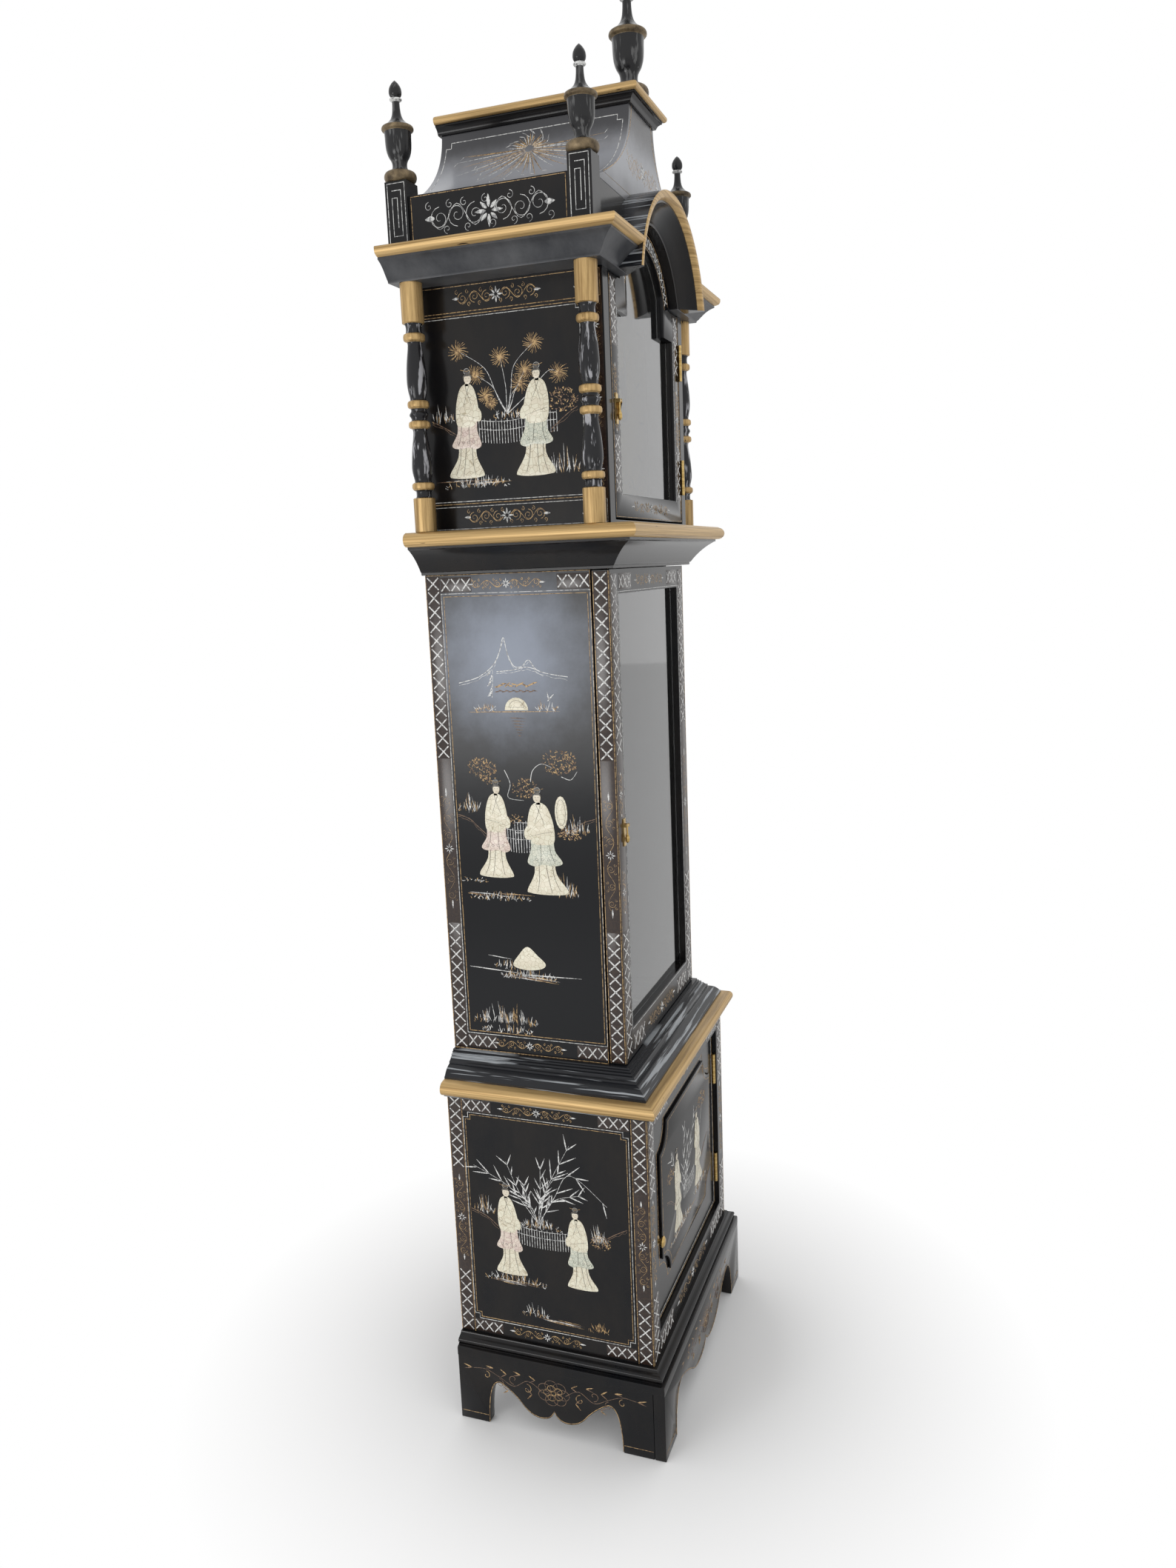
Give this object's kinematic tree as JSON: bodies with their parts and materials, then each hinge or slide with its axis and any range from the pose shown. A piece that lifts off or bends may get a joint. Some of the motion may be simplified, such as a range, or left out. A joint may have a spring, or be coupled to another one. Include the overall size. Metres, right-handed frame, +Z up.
{
  "type": "grandfather clock",
  "caption": "Longcase clock with bracket base, glazed trunk door, break-arch hood with turned columns and a caddy top with urn finials.",
  "frame": {"origin": "on the floor, under the middle of the bracket base's outline", "axes": "+Z up, the flat back faces +Y, the front with its doors faces -Y, +X is on the right when facing the front"},
  "size_m": [0.542, 0.338, 2.117],
  "materials": {
    "lacquer": "gloss black lacquer on wood",
    "gilding": "streaky antique gold leaf",
    "brass": "polished",
    "glass": "clear",
    "steel": "satin",
    "blued_steel": "blued",
    "dial": "satin",
    "pine": "stained, matt",
    "inlay": "mother-of-pearl and painted line work"
  },
  "bodies": {
    "case": {"bracket_front": "lacquer", "bracket_left": "lacquer", "bracket_right": "lacquer", "plinth_moulding": "lacquer", "base_side_left": "lacquer", "base_side_right": "lacquer", "base_frame": "lacquer", "base_top_moulding": "gilding", "trunk_side_left": "lacquer", "trunk_side_right": "lacquer", "waist_moulding": "lacquer", "hood_side_left": "lacquer", "hood_side_right": "lacquer", "hood_frame": "lacquer", "cornice": "lacquer", "caddy_frieze": "lacquer", "caddy_cove": "lacquer", "caddy_moulding": "gilding", "finial_front_left": "gilding", "finial_front_right": "gilding", "finial_back_left": "gilding", "finial_back_right": "gilding", "finial_centre": "gilding", "column_front_left": "gilding", "column_front_right": "gilding", "column_back_left": "gilding", "column_back_right": "gilding", "back_board": "pine", "base_hinge_lower": "brass", "base_hinge_upper": "brass", "trunk_hinge_lower": "brass", "trunk_hinge_upper": "brass", "hood_hinge_lower": "brass", "hood_hinge_upper": "brass", "seat_board": "pine", "movement_plates": "brass", "dial_plate": "dial", "cable_left": "steel", "cable_right": "steel"},
    "base_door": {"base_door": "lacquer", "base_door_panel": "lacquer"},
    "base_latch": {"base_knob": "brass"},
    "trunk_door": {"trunk_door": "lacquer", "trunk_glass": "glass", "trunk_pull_post": "brass"},
    "trunk_drop": {"trunk_pull": "brass"},
    "hood_door": {"hood_door": "lacquer", "hood_glass": "glass", "hood_pull_post": "brass"},
    "hood_drop": {"hood_pull": "brass"},
    "minute_hand": {"minute_hand": "blued_steel"},
    "hour_hand": {"hour_hand": "blued_steel"},
    "second_hand": {"second_hand": "blued_steel"},
    "moon_disc": {"moon_disc": "dial"},
    "pendulum": {"pendulum_rod": "pine", "pendulum_bob": "brass"},
    "weight_left": {"weight_left": "brass"},
    "weight_right": {"weight_right": "brass"},
    "drum_left": {"drum_left": "brass"},
    "drum_right": {"drum_right": "brass"}
  },
  "joints": [
    {"name": "base_door_swing", "type": "hinge", "parent": "case", "child": "base_door", "pos_m": [0.1868, -0.1442, 0.34], "axis": [0, 0, 1], "range_deg": [0, 95]},
    {"name": "base_latch_turn", "type": "hinge", "parent": "base_door", "child": "base_latch", "pos_m": [-0.17, -0.13, 0.315], "axis": [0, 1, 0], "range_deg": [0, 90]},
    {"name": "trunk_door_swing", "type": "hinge", "parent": "case", "child": "trunk_door", "pos_m": [0.1907, -0.0831, 0.958], "axis": [0, 0, 1], "range_deg": [0, 110]},
    {"name": "trunk_pull_lift", "type": "hinge", "parent": "trunk_door", "child": "trunk_drop", "pos_m": [-0.1615, -0.114, 0.955], "axis": [-1, 0, 0], "range_deg": [0, 75]},
    {"name": "hood_door_swing", "type": "hinge", "parent": "case", "child": "hood_door", "pos_m": [0.1668, -0.1192, 1.54], "axis": [0, 0, 1], "range_deg": [0, 110]},
    {"name": "hood_pull_lift", "type": "hinge", "parent": "hood_door", "child": "hood_drop", "pos_m": [-0.153, -0.121, 1.5365], "axis": [-1, 0, 0], "range_deg": [0, 75]},
    {"name": "minute_turn", "type": "hinge", "parent": "case", "child": "minute_hand", "pos_m": [0, -0.07, 1.535], "axis": [0, 1, 0], "continuous": true},
    {"name": "hour_turn", "type": "hinge", "parent": "case", "child": "hour_hand", "pos_m": [0, -0.07, 1.535], "axis": [0, 1, 0], "continuous": true},
    {"name": "second_turn", "type": "hinge", "parent": "case", "child": "second_hand", "pos_m": [0, -0.07, 1.577], "axis": [0, 1, 0], "continuous": true},
    {"name": "moon_turn", "type": "hinge", "parent": "case", "child": "moon_disc", "pos_m": [0, -0.06, 1.669], "axis": [0, 1, 0], "continuous": true},
    {"name": "pendulum_swing", "type": "hinge", "parent": "case", "child": "pendulum", "pos_m": [0, 0.103, 1.577], "axis": [0, 1, 0], "range_deg": [-3, 3]},
    {"name": "weight_left_rise", "type": "slide", "parent": "case", "child": "weight_left", "axis": [0, 0, 1], "range_m": [0, 0.36], "deforming": ["cable_left"]},
    {"name": "weight_right_rise", "type": "slide", "parent": "case", "child": "weight_right", "axis": [0, 0, 1], "range_m": [0, 0.36], "deforming": ["cable_right"]},
    {"name": "drum_left_turn", "type": "hinge", "parent": "case", "child": "drum_left", "pos_m": [-0.038, 0.026, 1.437], "axis": [0, 1, 0], "range_deg": [0, 2000]},
    {"name": "drum_right_turn", "type": "hinge", "parent": "case", "child": "drum_right", "pos_m": [0.038, 0.026, 1.437], "axis": [0, 1, 0], "range_deg": [-2000, 0]}
  ],
  "couplings": [
    {"joint": "hour_turn", "follows": "minute_turn", "ratio": 0.083333},
    {"joint": "drum_left_turn", "follows": "weight_left_rise", "rad_per_m": 90.909},
    {"joint": "drum_right_turn", "follows": "weight_right_rise", "rad_per_m": -90.909}
  ]
}
